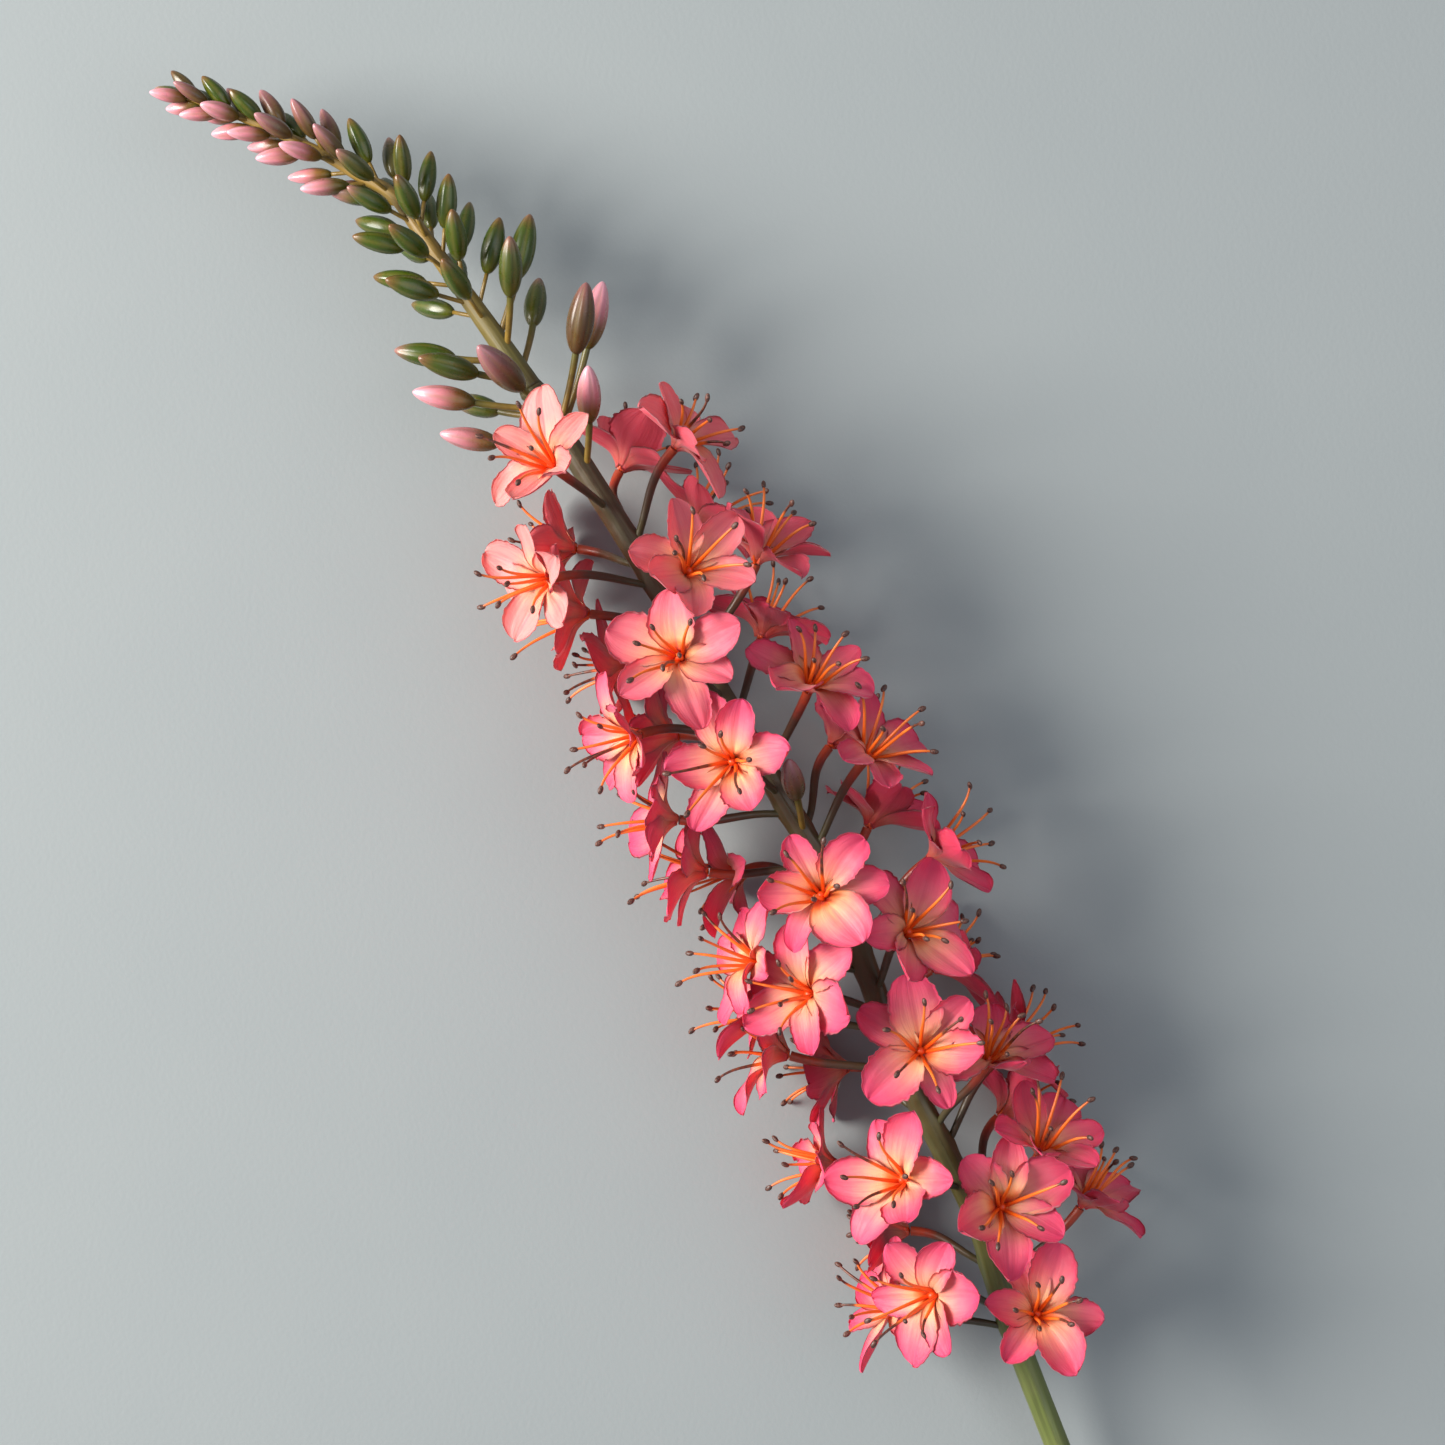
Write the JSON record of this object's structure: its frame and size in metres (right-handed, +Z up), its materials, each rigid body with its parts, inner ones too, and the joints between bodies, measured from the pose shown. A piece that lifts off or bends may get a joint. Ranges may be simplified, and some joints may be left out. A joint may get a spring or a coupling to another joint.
{
  "type": "cut foxtail lily stem",
  "caption": "Cut foxtail lily lying on its side: a tall bare stalk with a long spike of pink six-petalled flowers and buds at the tip",
  "frame": {"origin": "middle of the underside of the lying stem, on the surface it rests on", "axes": "+X from the cut end to the tip of the spike, +Y to the left seen from above with the tip ahead, +Z up"},
  "size_m": [0.6052, 0.1106, 0.0768],
  "materials": {
    "scape": "satin olive-green stalk, browner through the flowers",
    "spire_buds": "small waxy brown-pink buds on a golden-olive stem",
    "buds": "waxy grooved green buds with pinkish tips",
    "flowers": "soft veined pink petals, orange throat and filaments, dark anthers"
  },
  "bodies": {
    "root": {"scape": "scape", "bud_spire": "spire_buds", "bud_01": "buds", "bud_02": "buds", "bud_03": "buds", "bud_04": "buds", "bud_05": "buds", "bud_06": "buds", "bud_07": "buds", "bud_08": "buds", "bud_09": "buds", "bud_10": "buds", "bud_11": "buds", "bud_12": "buds", "bud_13": "buds", "flower_01": "flowers", "flower_02": "flowers", "flower_03": "flowers", "flower_04": "flowers", "flower_05": "flowers", "flower_06": "flowers", "flower_07": "flowers", "flower_08": "flowers", "flower_09": "flowers", "flower_10": "flowers", "flower_11": "flowers", "flower_12": "flowers", "flower_13": "flowers", "flower_14": "flowers", "flower_15": "flowers", "flower_16": "flowers", "flower_17": "flowers", "flower_18": "flowers", "flower_19": "flowers", "flower_20": "flowers", "flower_21": "flowers", "flower_22": "flowers", "flower_23": "flowers", "flower_24": "flowers", "flower_25": "flowers", "flower_26": "flowers", "flower_27": "flowers", "flower_28": "flowers", "flower_29": "flowers", "flower_30": "flowers", "flower_31": "flowers", "flower_32": "flowers", "flower_33": "flowers", "flower_34": "flowers", "flower_35": "flowers", "flower_36": "flowers", "flower_37": "flowers", "flower_38": "flowers", "flower_39": "flowers", "flower_40": "flowers", "flower_41": "flowers", "flower_42": "flowers", "flower_43": "flowers", "flower_44": "flowers"}
  },
  "joints": []
}
